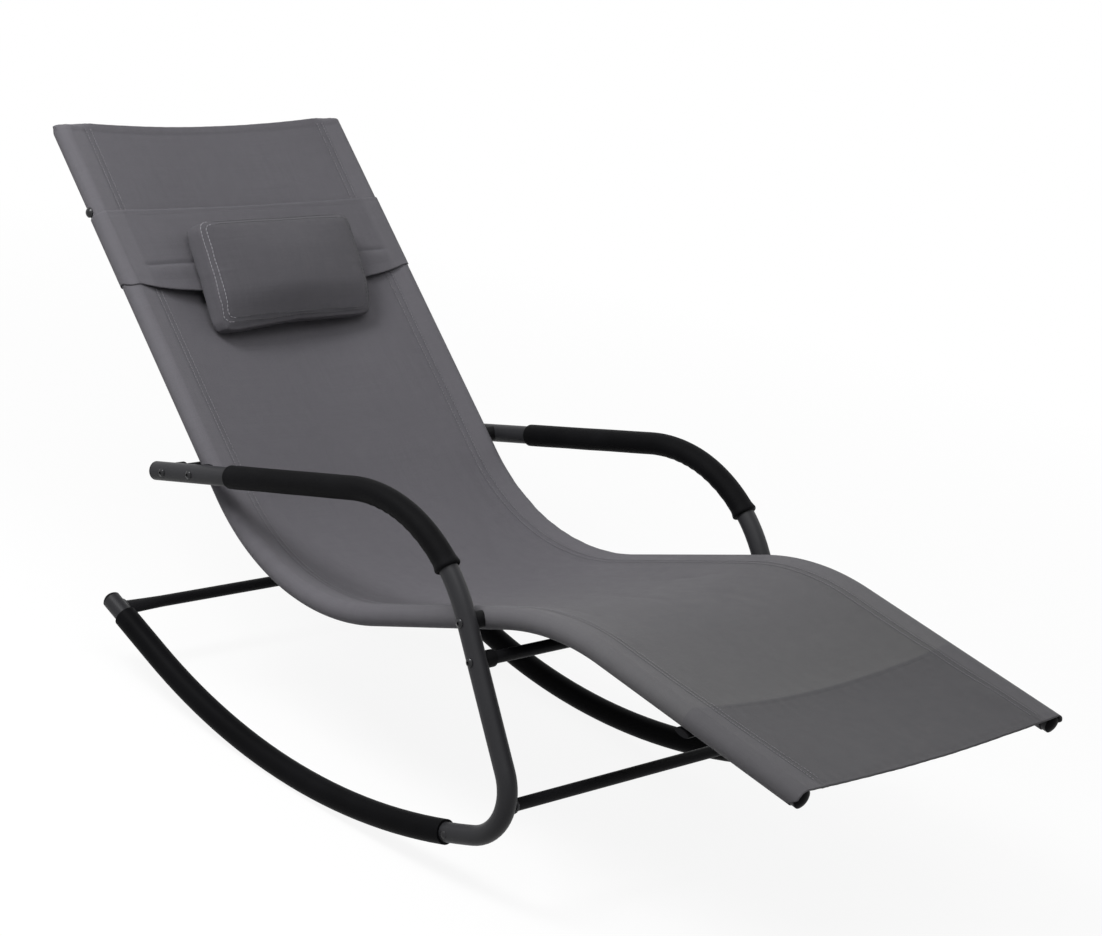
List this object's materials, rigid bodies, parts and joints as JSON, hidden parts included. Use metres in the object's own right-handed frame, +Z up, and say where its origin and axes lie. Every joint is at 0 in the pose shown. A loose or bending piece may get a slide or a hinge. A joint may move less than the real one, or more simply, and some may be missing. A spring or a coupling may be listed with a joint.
{
  "type": "rocking chaise lounge",
  "caption": "Reclined sling lounge with a raised footrest on two curved tube runners, tube arms with foam grips, and a small head pillow on a band that slides along the back.",
  "frame": {"origin": "middle of the object's outline on the floor, at rest, under the seat", "axes": "+X points to the footrest, +Y to the sitter's left, +Z up"},
  "size_m": [1.4578, 0.597, 0.6848],
  "materials": {
    "frame_coat": "dark grey powder coat, satin",
    "grip_foam": "closed-cell foam grip, matt black",
    "sleeve_plastic": "moulded plastic, black",
    "plug_plastic": "moulded plastic, black",
    "spacer_plastic": "moulded plastic, black",
    "bolt_black": "black plated steel, semi-gloss",
    "insert_steel": "zinc plated",
    "sling_fabric": "open weave of coated mesh yarn, dark grey",
    "band_fabric": "open weave of coated mesh yarn, dark grey",
    "pillow_fabric": "padded, same mesh cloth with stitched edges"
  },
  "bodies": {
    "frame": {"arm_tube_left": "frame_coat", "arm_tube_right": "frame_coat", "rocker_tube_left": "frame_coat", "rocker_tube_right": "frame_coat", "seat_rail_left": "frame_coat", "seat_rail_right": "frame_coat", "front_rocker_bar": "frame_coat", "rear_rocker_bar": "frame_coat", "under_seat_bar": "frame_coat", "arm_rear_bar": "frame_coat", "upper_back_bar": "frame_coat", "footrest_bar": "frame_coat", "arm_grip_left": "grip_foam", "arm_grip_right": "grip_foam", "rocker_sleeve_left": "sleeve_plastic", "rocker_sleeve_right": "sleeve_plastic", "arm_end_plug_left": "plug_plastic", "arm_end_plug_right": "plug_plastic", "rocker_end_plug_left": "plug_plastic", "rocker_end_plug_right": "plug_plastic", "rail_top_plug_left": "plug_plastic", "rail_top_plug_right": "plug_plastic", "rail_foot_plug_left": "plug_plastic", "rail_foot_plug_right": "plug_plastic", "arm_spacers": "spacer_plastic", "leg_spacers": "spacer_plastic", "arm_bar_saddles": "spacer_plastic", "seat_bar_saddles": "spacer_plastic", "arm_rail_bolts": "bolt_black", "leg_rail_bolts": "bolt_black", "arm_bar_bolts": "bolt_black", "seat_bar_bolts": "bolt_black", "back_bar_bolts": "bolt_black", "footrest_bar_screws": "bolt_black", "sleeve_stop_rivets": "bolt_black", "arm_rail_inserts": "insert_steel", "leg_rail_inserts": "insert_steel", "arm_bar_inserts": "insert_steel", "seat_bar_inserts": "insert_steel", "back_bar_inserts": "insert_steel", "sling": "sling_fabric"},
    "headrest": {"headrest_band": "band_fabric", "pillow": "pillow_fabric"}
  },
  "joints": [
    {"name": "headrest_slide", "type": "slide", "parent": "frame", "child": "headrest", "axis": [0.772, 0, -0.6357], "range_m": [0, 0.25]}
  ]
}
